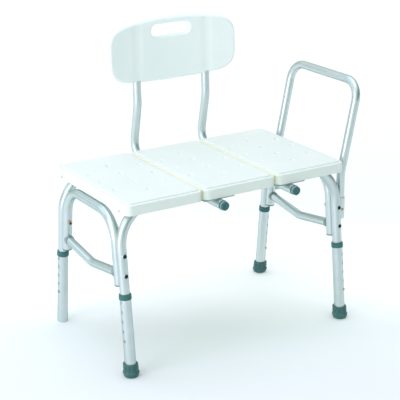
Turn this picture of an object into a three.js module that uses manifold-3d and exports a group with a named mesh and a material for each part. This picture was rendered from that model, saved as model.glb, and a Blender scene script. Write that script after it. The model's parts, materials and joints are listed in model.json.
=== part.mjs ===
// Bath transfer bench: three moulded seat panels on two long tube frames and two end frames, four
// telescopic legs, a side arm rail and a backrest that plugs in from behind.
// Millimetres, +Z up, +X towards the arm rail, +Y towards the backrest. While it is being built the
// origin is on the floor under the middle of the seat; the last lines move it to the middle of the
// whole bench.
import * as THREE from "three";
import { mergeVertices } from "three/addons/utils/BufferGeometryUtils.js";
import Module from "manifold-3d";

const wasm = await Module();
wasm.setup();

// Driving dimensions
const gap = 0.3;
const reach = 1000; // longer than anything a cutting tool has to pass through
const drillReach = 100;
const tubeSides = 12;
const holeSides = 8;
const bendStep = THREE.MathUtils.degToRad(22.6);

const seat = { pitch: 220, depth: 392, bottom: 422.5, rim: 449, top: 452, band: 11, corner: 18 };
seat.wall = 6;
seat.ceiling = 446.5;
seat.width = seat.pitch - 2 * gap;
seat.railRoom = 2;
seat.drain = { radius: 4, column: 76, outerStep: 73, innerStep: 74 };

const frameTube = { outer: 12.7, inner: 11.1 };
const foot = { x: 329, y: 196.5 };
const splay = Math.atan(0.105);
const rail = { z: 433.3, bend: 100, innerEnd: 62 };
const endFrame = { z: 406, bend: 78, offset: 25.8, legEnd: 235 };
const endPlug = { flange: 3, depth: 8, slack: 0.8 };

const lowerTube = { outer: 14.3, inner: 13.3, top: 214 };
const collar = { outer: 16.1, bottom: 202.5, top: 217, lip: 13.2, chamfer: 0.8 };
const tip = { body: 19.3, ring: 21.4, ringTop: 14, top: 34, floor: 6, below: 10, chamfer: 3 };
const hole = { pitch: 25.4, count: 5, radius: 3.9 };
const bolt = { heights: [264.1, 315.2], shank: 3, head: 6.5, headDepth: 4.5, hole: 3.5 };
bolt.chamfer = 2;
const nut = { thickness: 5, radii: [7.5, 6.2] };

const smallTube = { outer: 11.1, inner: 9.5 };
const brace = { bend: 60, drop: 5, clearance: 0.7, washer: 4.4, wall: smallTube.outer - smallTube.inner };
const saddle = { radius: 13, rise: 6, slack: 0.6 };
const armRail = { x: 354.4, y: 148.5, bottom: 277, kink: 400, top: 645 };
armRail.lean = THREE.MathUtils.degToRad(12);
armRail.bend = 50;
armRail.kinkBend = 80;
const sleeve = { outer: 12.7, inner: 11.6, bottom: 274, top: 334, button: 301 };

const back = { x: 45.5, spacing: 219, tubeZ: 407.5, tubeFront: -150, kinkY: 221, kinkZ: 570 };
back.cornerY = 255;
back.bend = 55;
back.kinkBend = 90;
back.topZ = 780;
back.lean = Math.atan(0.037);
const backPanel = { x: 43.5, width: 400, bottom: 629, height: 168, arch: 14, corner: 52 };
backPanel.crown = 5; // how much more the top edge rises in the middle than the bottom edge
backPanel.square = 0.45; // how far the corner curves' handles stand off, as a share of the corner
backPanel.thickness = 27;
backPanel.radius = 1150;
backPanel.margin = 10;
backPanel.slot = { width: 122, height: 35, below: 30 };
const receiver = { outer: 12.7, inner: 11.6, front: -209, rear: 165, button: 140 };
const bracket = { width: 90, depth: 22, bottom: 418.9, top: 422.2, places: [-194, 104] };
const receiverCap = { radius: 12.9, flange: 3, nose: 11.8, length: 13, depth: 9 };
const bushing = { radius: 14.6, depth: 8 };
const endScrew = { y: 157, z: 428, head: 3.6, shank: 1.6, headDepth: 2, grip: 4, slack: 0.5 };
// A snap button's clip: a hairpin of strip inside the tube, with a round button on its free leg
const clip = { strip: 0.9, clearance: 2.2, width: 3.4, below: 26, above: 6, button: 3.2, nose: 2 };
clip.proud = { leg: 8.6, small: 8.4 };

// The leg frames: which way the snap button of each side points, and how high it sits
const sides = [
  { name: "left", sign: -1, button: 95, angle: THREE.MathUtils.degToRad(192) },
  { name: "right", sign: 1, button: 82, angle: THREE.MathUtils.degToRad(-56) },
];
const ends = [
  { name: "front", sign: -1 },
  { name: "rear", sign: 1 },
];

function finish(color, roughness, metalness) {
  return () => new THREE.MeshStandardMaterial({ color, roughness, metalness });
}
const whitePlastic = finish(0xe9efee, 0.45, 0);
const aluminium = finish(0xc4ccca, 0.3, 0.9);
const darkPlastic = finish(0x33403e, 0.5, 0);
const greyPlastic = finish(0x9aa5a2, 0.5, 0);
const rubber = finish(0x3d4a47, 0.8, 0);
const brass = finish(0xa98a4c, 0.35, 0.9);
const darkSteel = finish(0x2b3331, 0.4, 0.7);
const zincSteel = finish(0xd2d8d6, 0.4, 0.6);

const bench = new THREE.Group();

function add(name, geometry, material) {
  const mesh = new THREE.Mesh(geometry, material());
  mesh.name = name;
  bench.add(mesh);
}

// Solids in and out of manifold-3d, which only joins and cuts them here
function toSolid(geometry) {
  const bare = geometry.index ? geometry.toNonIndexed() : geometry.clone();
  bare.deleteAttribute("normal");
  bare.deleteAttribute("uv");
  const merged = mergeVertices(bare, 1e-3);
  const triVerts = new Uint32Array(merged.index.array);
  const vertProperties = merged.attributes.position.array;
  return new wasm.Manifold(new wasm.Mesh({ numProp: 3, vertProperties, triVerts }));
}

function toGeometry(solid) {
  const mesh = solid.getMesh();
  const positions = new Float32Array(mesh.vertProperties);
  const geometry = new THREE.BufferGeometry();
  geometry.setAttribute("position", new THREE.BufferAttribute(positions, 3));
  geometry.setIndex(new THREE.BufferAttribute(new Uint32Array(mesh.triVerts), 1));
  return geometry;
}

function joined(...geometries) {
  return toGeometry(geometries.map(toSolid).reduce((whole, piece) => whole.add(piece)));
}

function cut(geometry, ...tools) {
  return toGeometry(tools.map(toSolid).reduce((whole, tool) => whole.subtract(tool), toSolid(geometry)));
}

function common(first, second) {
  return toGeometry(toSolid(first).intersect(toSolid(second)));
}

// Basic shapes
function block(x, y, z) {
  const [width, depth, height] = [x, y, z].map(([low, high]) => high - low);
  const middle = [x, y, z].map(([low, high]) => (low + high) / 2);
  return new THREE.BoxGeometry(width, depth, height).translate(...middle);
}

function circlePoints(radius, count) {
  return Array.from({ length: count }, (_, i) => {
    const turn = (2 * Math.PI * (i + 0.5)) / count;
    return new THREE.Vector2(radius * Math.cos(turn), radius * Math.sin(turn));
  });
}

function section(outer, inner, count) {
  const shape = new THREE.Shape(circlePoints(outer, count));
  if (inner) shape.holes.push(new THREE.Path(circlePoints(inner, count)));
  return shape;
}

// A round bar or pipe along +Z
function pipe(outer, inner, low, high, count = tubeSides) {
  const options = { depth: high - low, bevelEnabled: false };
  return new THREE.ExtrudeGeometry(section(outer, inner, count), options).translate(0, 0, low);
}

// A turned piece around +Z, from [radius, height] pairs that start and end on the axis or on each other
function turned(profile, count = tubeSides) {
  const points = profile.map(([radius, height]) => new THREE.Vector2(radius, height));
  const geometry = new THREE.LatheGeometry(points, count);
  return geometry.rotateX(Math.PI / 2).rotateZ(Math.PI / count);
}

// A tube's centre line: straight runs between corner points, each inner corner rounded to a radius.
// It is sampled only where it bends, so the straight runs cost nothing.
class BentLine extends THREE.Curve {
  constructor(corners, radii) {
    super();
    this.stations = [];
    const last = corners.length - 1;
    this.addStation(corners[0], corners[1].clone().sub(corners[0]));
    for (let i = 1; i < last; i++) this.addBend(corners[i - 1], corners[i], corners[i + 1], radii[i - 1]);
    this.addStation(corners[last], corners[last].clone().sub(corners[last - 1]));
  }

  addStation(point, direction) {
    this.stations.push({ point: point.clone(), direction: direction.clone().normalize() });
  }

  addBend(before, corner, after, radius) {
    const inward = corner.clone().sub(before).normalize();
    const outward = after.clone().sub(corner).normalize();
    const turn = inward.angleTo(outward);
    const start = corner.clone().addScaledVector(inward, -radius * Math.tan(turn / 2));
    const axis = inward.clone().cross(outward).normalize();
    const toCentre = axis.clone().cross(inward);
    const centre = start.clone().addScaledVector(toCentre, radius);
    const steps = Math.max(2, Math.ceil(turn / bendStep));
    for (let k = 0; k <= steps; k++) {
      const angle = (turn * k) / steps;
      const arm = toCentre.clone().multiplyScalar(-radius).applyAxisAngle(axis, angle);
      this.addStation(centre.clone().add(arm), inward.clone().applyAxisAngle(axis, angle));
    }
  }

  station(u) {
    return this.stations[Math.round(u * (this.stations.length - 1))];
  }

  getPointAt(u) {
    return this.station(u).point.clone();
  }

  getTangentAt(u) {
    return this.station(u).direction.clone();
  }
}

function bentTube(corners, radii, { outer, inner }) {
  const line = new BentLine(corners.map((corner) => new THREE.Vector3(...corner)), radii);
  const options = { steps: line.stations.length - 1, extrudePath: line };
  return new THREE.ExtrudeGeometry(section(outer, inner, tubeSides), options);
}

// The frame of one leg: local +Z up the leg's axis from the floor, local +Y square to it and outward
function legFrame(side, end) {
  const up = new THREE.Vector3(0, -end.sign * Math.sin(splay), Math.cos(splay));
  const out = new THREE.Vector3(0, end.sign * Math.cos(splay), Math.sin(splay));
  const frame = new THREE.Matrix4().makeBasis(out.clone().cross(up), out, up);
  return frame.setPosition(side.sign * foot.x, end.sign * foot.y, 0);
}

// A point of a leg's frame in the bench's axes
function legPoint(side, end, outward, along) {
  return new THREE.Vector3(0, outward, along).applyMatrix4(legFrame(side, end)).toArray();
}

// Turns a piece made along +X to the way its leg's snap button points
function buttonTurn(side, end) {
  return Math.atan2(end.sign * Math.sin(side.angle), end.sign * Math.cos(side.angle));
}

function boltHoles(side, end) {
  return bolt.heights.map((height) => {
    const drill = pipe(bolt.hole, 0, -drillReach, drillReach, holeSides).rotateX(Math.PI / 2);
    return drill.translate(0, 0, height).applyMatrix4(legFrame(side, end));
  });
}

function buttonHole(side, end, height, radius = hole.radius) {
  const drill = pipe(radius, 0, 0, 2 * lowerTube.outer, holeSides).rotateY(Math.PI / 2);
  return drill.rotateZ(buttonTurn(side, end)).translate(0, 0, height);
}

// A spring clip that stands in a tube of the given bore, with its button pointing along +X
function springClip(bore, proud) {
  const { strip, clearance, width, below, above, button, nose } = clip;
  const inside = bore - clearance;
  const leaf = block([inside - strip, inside], [-width, width], [-below, above]);
  const backLeaf = block([-inside, strip - inside], [-width, width], [-below, above]);
  const bow = block([-inside, inside], [-width, width], [-below - strip, -below]);
  const profile = [[0, 0], [button, 0], [button, proud - 1], [nose, proud], [0, proud]];
  const stud = turned(profile, holeSides).rotateY(Math.PI / 2).translate(inside - strip / 2, 0, 0);
  return joined(leaf, bow, backLeaf, stud);
}

// Seat
function roundedRectangle(width, depth, radius) {
  const [x, y] = [width / 2 - radius, depth / 2 - radius];
  const shape = new THREE.Shape();
  shape.absarc(x, y, radius, 0, Math.PI / 2);
  shape.absarc(-x, y, radius, Math.PI / 2, Math.PI);
  shape.absarc(-x, -y, radius, Math.PI, 1.5 * Math.PI);
  shape.absarc(x, -y, radius, 1.5 * Math.PI, 2 * Math.PI);
  return shape;
}

// Ten drain holes: three, four and three in a row from front to rear
function drainHoles() {
  const { radius, column, outerStep, innerStep } = seat.drain;
  const outerRow = [-1, 0, 1].map((place) => place * outerStep);
  const innerRow = [-1.5, -0.5, 0.5, 1.5].map((place) => place * innerStep);
  const rows = [[-column, outerRow], [0, innerRow], [column, outerRow]];
  const spots = rows.flatMap(([x, row]) => row.map((y) => [x, y]));
  return spots.map(([x, y]) => pipe(radius, 0, seat.bottom, seat.top + 1, holeSides).translate(x, y, 0));
}

// A shell open below, with room for the two rails; only the outer ends of the seat have a full wall
function seatPanel(place) {
  const rise = seat.top - seat.rim;
  const inset = 2 * seat.band;
  const shape = roundedRectangle(seat.width - inset, seat.depth - inset, seat.corner - seat.band);
  const slab = new THREE.ExtrudeGeometry(shape, {
    depth: seat.rim - seat.bottom + rise,
    bevelThickness: rise,
    bevelSize: seat.band,
    bevelSegments: 1,
    curveSegments: 3,
  }).translate(0, 0, seat.bottom - rise);
  const [x, y] = [seat.width / 2 - seat.wall, seat.depth / 2 - seat.wall];
  const under = seat.bottom - drillReach;
  const base = block([-reach, reach], [-reach, reach], [under, seat.bottom]);
  const hollow = block([-x, x], [-y, y], [under, seat.ceiling]);
  const railY = foot.y - rail.z * Math.tan(splay);
  const room = frameTube.outer + seat.railRoom;
  const along = [place < 0 ? 0 : -reach, place > 0 ? 0 : reach];
  const railWays = ends.map(({ sign }) => {
    return block(along, [sign * railY - room, sign * railY + room], [under, seat.ceiling - gap]);
  });
  const screwHoles = ends.map(({ sign }) => {
    const drill = pipe(endScrew.shank + endScrew.slack, 0, 0, seat.width, holeSides);
    return drill.rotateY((place * Math.PI) / 2).translate(0, sign * endScrew.y, endScrew.z);
  });
  const openings = place ? [...railWays, ...screwHoles] : railWays;
  const panel = cut(slab, base, hollow, ...openings, ...drainHoles());
  return panel.translate(place * seat.pitch, 0, 0);
}

for (const [place, name] of [[-1, "left"], [0, "middle"], [1, "right"]]) {
  add(`seat_panel_${name}`, seatPanel(place), whitePlastic);
}

function seatEndScrew() {
  const { head, shank, headDepth, grip } = endScrew;
  const depth = seat.wall + grip;
  const profile = [
    [0, -depth],
    [shank, -depth],
    [shank, gap],
    [head, gap],
    [head, (2 * headDepth) / 3],
    [head / 2, headDepth],
    [0, headDepth],
  ];
  return turned(profile, holeSides);
}

for (const side of sides) {
  for (const end of ends) {
    const screw = seatEndScrew().rotateY((side.sign * Math.PI) / 2);
    screw.translate(side.sign * (seat.pitch + seat.width / 2), end.sign * endScrew.y, endScrew.z);
    add(`seat_end_screw_${side.name}_${end.name}`, screw, zincSteel);
  }
}

// Long frames, front and rear: an upturned U whose rail runs inside the seat panels
function longFrame(end) {
  const [left, right] = sides;
  const railAlong = rail.z / Math.cos(splay);
  const corners = [
    legPoint(left, end, 0, rail.innerEnd),
    legPoint(left, end, 0, railAlong),
    legPoint(right, end, 0, railAlong),
    legPoint(right, end, 0, rail.innerEnd),
  ];
  const tube = bentTube(corners, [rail.bend, rail.bend], frameTube);
  const drills = sides.flatMap((side) => {
    const button = buttonHole(side, end, side.button).applyMatrix4(legFrame(side, end));
    return [...boltHoles(side, end), button];
  });
  return cut(tube, ...drills);
}

for (const end of ends) add(`${end.name}_leg_frame`, longFrame(end), aluminium);

// End frames, left and right: a lower U across the bench, bolted inside the legs of the long frames
function endFrameTube(side) {
  const [front, rear] = ends;
  const along = (endFrame.z + endFrame.offset * Math.sin(splay)) / Math.cos(splay);
  const corners = [
    legPoint(side, front, -endFrame.offset, endFrame.legEnd),
    legPoint(side, front, -endFrame.offset, along),
    legPoint(side, rear, -endFrame.offset, along),
    legPoint(side, rear, -endFrame.offset, endFrame.legEnd),
  ];
  const tube = bentTube(corners, [endFrame.bend, endFrame.bend], frameTube);
  return cut(tube, ...ends.flatMap((end) => boltHoles(side, end)));
}

function endFramePlug(side, end) {
  const { flange, depth, slack } = endPlug;
  const stub = frameTube.inner - slack;
  const profile = [
    [0, -flange],
    [frameTube.outer, -flange],
    [frameTube.outer, -gap],
    [stub, -gap],
    [stub, depth],
    [0, depth],
  ];
  const plug = turned(profile).translate(0, -endFrame.offset, endFrame.legEnd);
  return plug.applyMatrix4(legFrame(side, end));
}

for (const side of sides) {
  add(`${side.name}_end_frame`, endFrameTube(side), aluminium);
  for (const end of ends) {
    add(`end_frame_plug_${side.name}_${end.name}`, endFramePlug(side, end), darkPlastic);
  }
}

// Through bolts: the lower ones end in a nut inside the open end of a brace, the upper ones in a
// nut against the end frame
function throughBolt(side, end, level) {
  const { shank, head, headDepth, chamfer } = bolt;
  const inner = -endFrame.offset - frameTube.outer;
  const nutStart = inner - (level ? gap : brace.washer + 2 * brace.wall);
  const nutEnd = nutStart - nut.thickness;
  const radius = nut.radii[level];
  const outer = frameTube.outer + gap;
  const profile = [
    [0, nutEnd - 1],
    [radius - chamfer, nutEnd - 1],
    [radius, nutEnd],
    [radius, nutStart],
    [shank, nutStart],
    [shank, outer],
    [head, outer],
    [head, outer + headDepth / 2],
    [head - chamfer, outer + headDepth],
    [0, outer + headDepth],
  ];
  const piece = turned(profile, holeSides).rotateX(-Math.PI / 2).translate(0, 0, bolt.heights[level]);
  return piece.applyMatrix4(legFrame(side, end));
}

// Saddle washers between the end frames and the braces
function saddleWasher(side, end) {
  const face = -endFrame.offset - frameTube.outer;
  const height = bolt.heights[0];
  const disc = pipe(saddle.radius, bolt.hole, face - brace.washer, face + saddle.rise);
  const tube = pipe(frameTube.outer + saddle.slack, 0, -drillReach, drillReach);
  const washer = cut(disc.rotateX(-Math.PI / 2), tube.translate(0, -endFrame.offset, 0));
  return washer.translate(0, 0, height).applyMatrix4(legFrame(side, end));
}

function braceTube(side) {
  const [front, rear] = ends;
  const start = -endFrame.offset - frameTube.outer - brace.washer - brace.clearance;
  const height = bolt.heights[0];
  const nearEnd = legPoint(side, front, start, height);
  const farEnd = legPoint(side, rear, start, height);
  const middle = [nearEnd[0], 0, nearEnd[2] + nearEnd[1] * Math.tan(splay) - brace.drop];
  return bentTube([nearEnd, middle, farEnd], [brace.bend], smallTube);
}

for (const side of sides) {
  add(`${side.name}_brace`, braceTube(side), aluminium);
  for (const end of ends) {
    const place = `${side.name}_${end.name}`;
    add(`brace_saddle_${place}`, saddleWasher(side, end), greyPlastic);
    add(`frame_bolt_lower_${place}`, throughBolt(side, end, 0), darkSteel);
    add(`frame_bolt_upper_${place}`, throughBolt(side, end, 1), darkSteel);
  }
}

// Telescopic legs
function belowFloor() {
  return block([-reach, reach], [-reach, reach], [-reach, 0]);
}

function lowerLeg(side, end, bare) {
  const bottom = bare ? -tip.below : tip.floor + gap;
  const tube = pipe(lowerTube.outer, lowerTube.inner, bottom, lowerTube.top);
  const drills = Array.from({ length: hole.count }, (_, i) => {
    return buttonHole(side, end, side.button + i * hole.pitch);
  });
  const drilled = cut(tube, ...drills).applyMatrix4(legFrame(side, end));
  return bare ? cut(drilled, belowFloor()) : drilled;
}

function legCollar(side, end) {
  const { outer, bottom, top, lip, chamfer } = collar;
  const bore = lowerTube.outer + gap;
  const step = lowerTube.top + gap;
  const profile = [
    [bore, bottom],
    [outer - chamfer, bottom],
    [outer, bottom + chamfer],
    [outer, top - 2 * chamfer],
    [outer - chamfer, top],
    [lip, top],
    [lip, step],
    [bore, step],
    [bore, bottom],
  ];
  return turned(profile).applyMatrix4(legFrame(side, end));
}

function rubberTip(side, end) {
  const { body, ring, ringTop, top, floor, below, chamfer } = tip;
  const bore = lowerTube.outer + gap;
  const profile = [
    [0, -below],
    [ring - chamfer, -below],
    [ring - chamfer, 0],
    [ring, chamfer],
    [ring, ringTop - chamfer / 2],
    [body, ringTop],
    [body, top - chamfer / 2],
    [body - chamfer / 2, top],
    [bore, top],
    [bore, floor],
    [0, floor],
  ];
  return cut(turned(profile).applyMatrix4(legFrame(side, end)), belowFloor());
}

// The rear left leg stands on its bare tube end, without a rubber tip
for (const side of sides) {
  for (const end of ends) {
    const place = `${end.name}_${side.name}`;
    const bare = side.sign < 0 && end.sign > 0;
    const frame = legFrame(side, end);
    const button = springClip(frameTube.inner, clip.proud.leg).rotateZ(buttonTurn(side, end));
    add(`lower_leg_${place}`, lowerLeg(side, end, bare), aluminium);
    add(`leg_collar_${place}`, legCollar(side, end), darkPlastic);
    if (!bare) add(`rubber_tip_${place}`, rubberTip(side, end), rubber);
    add(`leg_snap_button_${place}`, button.translate(0, 0, side.button).applyMatrix4(frame), brass);
  }
}

// Arm rail, which drops into a sleeve beside each right-hand leg
function armRailTube() {
  const { x, y, bottom, kink, top, lean, bend, kinkBend } = armRail;
  const topX = x + (top - kink) * Math.tan(lean);
  const corners = [
    [x, -y, bottom],
    [x, -y, kink],
    [topX, -y, top],
    [topX, y, top],
    [x, y, kink],
    [x, y, bottom],
  ];
  const tube = bentTube(corners, [kinkBend, bend, bend, kinkBend], smallTube);
  return cut(tube, ...ends.map((end) => sleeveDrill(end)));
}

function sleeveDrill(end) {
  const drill = pipe(hole.radius, 0, 0, 2 * sleeve.outer, holeSides).rotateX((-end.sign * Math.PI) / 2);
  return drill.translate(armRail.x, end.sign * armRail.y, sleeve.button);
}

add("arm_rail", armRailTube(), aluminium);
for (const end of ends) {
  const wall = pipe(sleeve.outer, sleeve.inner, sleeve.bottom, sleeve.top);
  const tube = wall.translate(armRail.x, end.sign * armRail.y, 0);
  add(`arm_rail_sleeve_${end.name}`, cut(tube, sleeveDrill(end)), aluminium);
  const button = springClip(smallTube.inner, clip.proud.small).rotateZ((end.sign * Math.PI) / 2);
  button.translate(armRail.x, end.sign * armRail.y, sleeve.button);
  add(`arm_rail_snap_button_${end.name}`, button, brass);
}

// Backrest and the receivers that hold its tubes under the seat
const backTubeX = sides.map((side) => back.x + (side.sign * back.spacing) / 2);

function receiverDrill(x) {
  const drill = pipe(hole.radius, 0, 0, 2 * receiver.outer, holeSides).rotateX(Math.PI);
  return drill.translate(x, receiver.button, back.tubeZ);
}

function receiverTube(x) {
  const { outer, inner, front, rear } = receiver;
  const barrel = pipe(outer, 0, front, rear).rotateX(-Math.PI / 2);
  const bore = pipe(inner, 0, front - 1, rear + 1).rotateX(-Math.PI / 2);
  const heights = [bracket.bottom - back.tubeZ, bracket.top - back.tubeZ];
  const plates = bracket.places.map((y) => {
    return block([-bracket.width / 2, bracket.width / 2], [y, y + bracket.depth], heights);
  });
  const welded = joined(barrel, ...plates);
  return cut(cut(welded, bore).translate(x, 0, back.tubeZ), receiverDrill(x));
}

function frontCap() {
  const { radius, flange, nose, length, depth } = receiverCap;
  const stub = receiver.inner - gap;
  const profile = [
    [0, -length],
    [nose - 1, -length],
    [nose, 1 - length],
    [nose, -flange],
    [radius, -flange],
    [radius, -gap],
    [stub, -gap],
    [stub, depth],
    [0, depth],
  ];
  return turned(profile).rotateX(-Math.PI / 2);
}

function rearBushing() {
  const { radius, depth } = bushing;
  const bore = receiver.inner;
  const profile = [
    [bore, gap],
    [radius, gap],
    [radius, depth - 1],
    [radius - 1, depth],
    [bore, depth],
    [bore, gap],
  ];
  return turned(profile).rotateX(-Math.PI / 2);
}

function backTube(x) {
  const { tubeZ, tubeFront, cornerY, kinkY, kinkZ, topZ, lean } = back;
  const corners = [
    [x, tubeFront, tubeZ],
    [x, cornerY, tubeZ],
    [x, kinkY, kinkZ],
    [x, kinkY + (topZ - kinkZ) * Math.tan(lean), topZ],
  ];
  return cut(bentTube(corners, [back.bend, back.kinkBend], smallTube), receiverDrill(x));
}

sides.forEach((side, i) => {
  const x = backTubeX[i];
  add(`backrest_receiver_${side.name}`, receiverTube(x), aluminium);
  const cap = frontCap().translate(x, receiver.front, back.tubeZ);
  add(`receiver_cap_${side.name}`, cap, darkPlastic);
  const ring = rearBushing().translate(x, receiver.rear, back.tubeZ);
  add(`receiver_bushing_${side.name}`, ring, darkPlastic);
  add(`backrest_tube_${side.name}`, backTube(x), aluminium);
  const button = springClip(smallTube.inner, clip.proud.small).rotateX(-Math.PI / 2).rotateY(Math.PI / 2);
  button.translate(x, receiver.button, back.tubeZ);
  add(`backrest_snap_button_${side.name}`, button, brass);
});

// The back panel's outline, seen from the front, with its bottom edge's middle at the origin
function backOutline() {
  const { width, height, arch, crown, corner } = backPanel;
  const x = width / 2;
  const shape = new THREE.Shape();
  const square = corner * backPanel.square;
  shape.moveTo(-x + corner, arch / 2);
  shape.quadraticCurveTo(0, -arch / 2, x - corner, arch / 2);
  shape.bezierCurveTo(x - square, arch, x, square, x, corner + arch);
  shape.lineTo(x, height - corner - arch);
  shape.bezierCurveTo(x, height - square, x - square, height - arch, x - corner, height - arch / 2);
  shape.quadraticCurveTo(0, height + arch / 2 + 2 * crown, -x + corner, height - arch / 2);
  shape.bezierCurveTo(-x + square, height - arch, -x, height - square, -x, height - corner - arch);
  shape.lineTo(-x, corner + arch);
  shape.bezierCurveTo(-x, square, -x + square, arch, -x + corner, arch / 2);
  return shape;
}

function slotOutline() {
  const { width, height, below } = backPanel.slot;
  const end = height / 2;
  const middle = backPanel.height - below;
  const shape = new THREE.Shape();
  shape.absarc(width / 2 - end, middle, end, -Math.PI / 2, Math.PI / 2);
  shape.absarc(end - width / 2, middle, end, Math.PI / 2, 1.5 * Math.PI);
  return shape;
}

// A slab bowed in plan, hollow towards the sitter, whose middle surface meets both back tubes
function bowedSlab() {
  const { radius, thickness, width, height, margin } = backPanel;
  const half = Math.asin((width / 2 + margin) / radius);
  const shape = new THREE.Shape();
  const [start, finishAngle] = [Math.PI / 2 - half, Math.PI / 2 + half];
  shape.absarc(0, 0, radius + thickness / 2, start, finishAngle);
  shape.absarc(0, 0, radius - thickness / 2, finishAngle, start, true);
  const options = { depth: height + 2 * margin, bevelEnabled: false, curveSegments: 12 };
  const atTubes = Math.sqrt(radius ** 2 - (back.spacing / 2) ** 2);
  return new THREE.ExtrudeGeometry(shape, options).translate(0, -atTubes, -margin);
}

function prism(shape, curveSegments) {
  const options = { depth: 2 * drillReach, bevelEnabled: false, curveSegments };
  return new THREE.ExtrudeGeometry(shape, options).rotateX(Math.PI / 2).translate(0, drillReach, 0);
}

function backrestPanel() {
  const bottomY = back.kinkY + (backPanel.bottom - back.kinkZ) * Math.tan(back.lean);
  const tubeTop = (back.topZ - backPanel.bottom) / Math.cos(back.lean) + 1;
  const bores = sides.map(({ sign }) => {
    const x = back.x - backPanel.x + (sign * back.spacing) / 2;
    return pipe(smallTube.outer + 0.5, 0, -drillReach, tubeTop).translate(x, 0, 0);
  });
  const body = common(bowedSlab(), prism(backOutline(), 5));
  const panel = cut(body, prism(slotOutline(), 5), ...bores);
  return panel.rotateX(-back.lean).translate(backPanel.x, bottomY, backPanel.bottom);
}

add("backrest_panel", backrestPanel(), whitePlastic);

// The finished bench stands on z = 0 with the middle of its outline at the origin
const extent = new THREE.Box3().setFromObject(bench);
const centre = extent.getCenter(new THREE.Vector3());
bench.position.set(-centre.x, -centre.y, -extent.min.z);

export default bench;
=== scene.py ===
"""A bath transfer bench: the finished pieces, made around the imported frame.

Lengths are millimetres from the middle of the seat's footprint on the floor, +X towards the arm
rail and +Y towards the backrest, until dress() puts each piece in the row frame in metres."""
import json
import math
import bmesh
import bpy
from mathutils import Matrix, Vector


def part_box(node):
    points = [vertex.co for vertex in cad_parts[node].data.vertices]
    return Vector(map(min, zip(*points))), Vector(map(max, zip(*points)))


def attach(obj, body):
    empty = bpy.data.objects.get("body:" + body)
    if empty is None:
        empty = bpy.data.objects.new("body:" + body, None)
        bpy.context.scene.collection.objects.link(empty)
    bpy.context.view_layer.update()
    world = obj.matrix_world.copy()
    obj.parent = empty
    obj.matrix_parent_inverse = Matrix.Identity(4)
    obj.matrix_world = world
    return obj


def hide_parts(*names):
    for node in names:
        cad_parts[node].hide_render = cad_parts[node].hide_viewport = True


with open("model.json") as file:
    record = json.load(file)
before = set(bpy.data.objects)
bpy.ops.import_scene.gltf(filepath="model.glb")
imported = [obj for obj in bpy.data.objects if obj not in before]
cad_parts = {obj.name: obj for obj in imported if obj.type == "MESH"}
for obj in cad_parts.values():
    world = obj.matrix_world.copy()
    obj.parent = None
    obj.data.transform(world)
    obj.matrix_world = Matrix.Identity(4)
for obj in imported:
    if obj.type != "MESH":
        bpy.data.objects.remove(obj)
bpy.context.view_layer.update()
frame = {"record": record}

MM = 0.001
seat_low, seat_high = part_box("seat_panel_middle")
origin = Vector(((seat_low.x + seat_high.x) / 2, (seat_low.y + seat_high.y) / 2, 0))
to_row_frame = Matrix.Translation(origin) @ Matrix.Scale(MM, 4)

# Driving dimensions
GAP = 0.3
SIDES = (("left", -1), ("right", 1))
ENDS = (("front", -1), ("rear", 1))
SPLAY = math.atan(0.105)
FOOT = (329.0, 196.5)
ROUND = 44  # sides of a tube
SMOOTH = 28  # sides of a small turned piece
SHARP = 0.01  # softening of a cutter's corners, as good as none
ON_AXIS = 1e-6
LONG = 1000.0  # past the whole bench
THROUGH = 60  # past both walls of any tube

SEAT = dict(pitch=220, width=219.4, depth=392, bottom=422.5, rim=449, top=452, corner=18)
DRAIN_COLUMNS = ((-76, (-73, 0, 73)), (0, (-111, -37, 37, 111)), (76, (-73, 0, 73)))
RAIL = dict(z=433.3, bend=100, end=62)
RAIL_WAY = dict(room=2, bottom=300, top=446.2)
END_FRAME = dict(z=406, bend=78, offset=25.8, end=235)
FRAME_TUBE = (12.7, 11.1)
SMALL_TUBE = (11.1, 9.5)
LOWER_TUBE = (14.3, 13.3)
LOWER_LEG = dict(top=214, bottom=6.3, bare_bottom=-12)
HOLE = dict(radius=3.9, pitch=25.4, count=5)
BUTTONS = {"left": (95, math.radians(192)), "right": (82, math.radians(-56))}
CLIP = dict(strip=0.45, width=3.4, below=26, above=6, near=2.65, far=5.2, button=3.2)
LEG_REACH, SMALL_REACH = 8.6, 8.4
BOLT_HEIGHTS = (264.1, 315.2)
BOLT_HOLE = 3.5
BRACE = dict(bend=60, drop=5, clearance=0.7, washer=4.4)
ARM = dict(x=354.4, y=148.5, bottom=277, kink=400, top=645, bend=50, kink_bend=80)
ARM.update(lean=math.radians(12))
SLEEVE = dict(outer=12.7, inner=11.6, bottom=274, top=334, button=301)
BACK = dict(x=45.5, spacing=219, tube_z=407.5, front=-150, corner_y=255, bend=55)
BACK.update(kink_y=221, kink_z=570, kink_bend=90, top=780, lean=math.atan(0.037))
PANEL = dict(x=43.5, width=400, bottom=629, height=168, arch=14, corner=52, square=0.45)
PANEL.update(thickness=27, radius=1150, slot_width=122, slot_height=35, slot_below=30, crown=5)
RECEIVER = dict(outer=12.7, inner=11.6, front=-209, rear=165, button=140)
BRACKET = dict(width=90, depth=22, bottom=418.9, top=422.2, places=(-194, 104))
END_SCREW = dict(y=157, z=428)
TIP = dict(ring=21.4, body=19.3, top=34.0, bore=14.6)
FLUTE = dict(count=9, depth=2.0, power=0.6, low=15, high=30.2, fade=1.5)

# Noise swings round 0.5 and seldom leaves this range
NOISE_LOW, NOISE_HIGH = 0.3, 0.7
# Metres from the middle of a seam where the seat's painted cream glow, which stands in for light
# bounced and passed between the panels, starts and is full
SEAM_GLOW_START, SEAM_GLOW_FULL = 0.0062, 0.002
SEAM_GLOW_COLOR = (0.84, 0.825, 0.61)
# Sockets of a Mix node set to colours
MIX_FIRST, MIX_SECOND, MIX_RESULT = 6, 7, 2


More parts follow.
